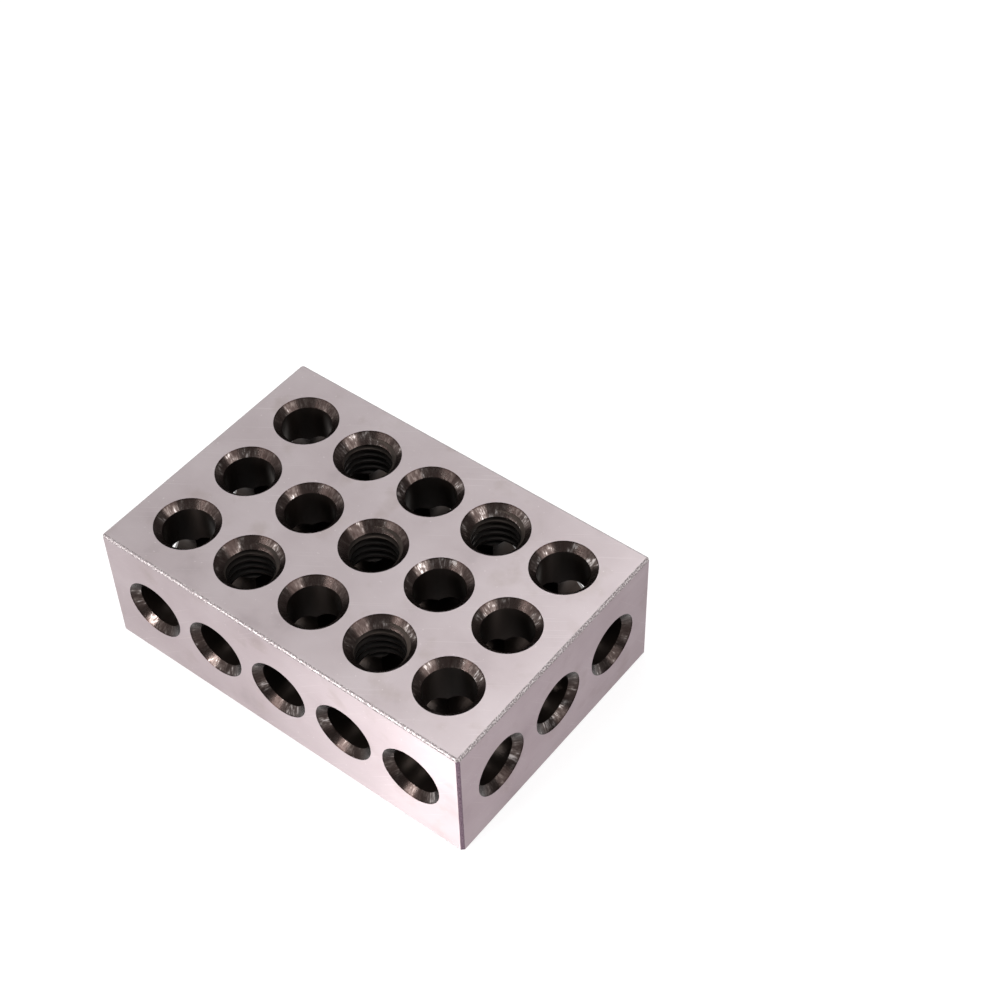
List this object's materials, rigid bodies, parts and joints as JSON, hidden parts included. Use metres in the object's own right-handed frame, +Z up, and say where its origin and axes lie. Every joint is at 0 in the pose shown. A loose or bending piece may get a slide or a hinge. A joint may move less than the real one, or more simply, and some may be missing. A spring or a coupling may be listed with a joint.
{
  "type": "machinist setup block",
  "caption": "Rectangular ground steel setup block, bored and tapped through on three axes, for holding work square and at a known height.",
  "frame": {"origin": "middle of the large face that the block stands on", "axes": "+X along the length, +Y along the width, +Z up along the height, square to the faces"},
  "size_m": [0.0762, 0.0508, 0.0254],
  "materials": {
    "ground_steel": "fine ground satin, darker in the holes"
  },
  "bodies": {
    "root": {"setup_block": "ground_steel"}
  },
  "joints": []
}
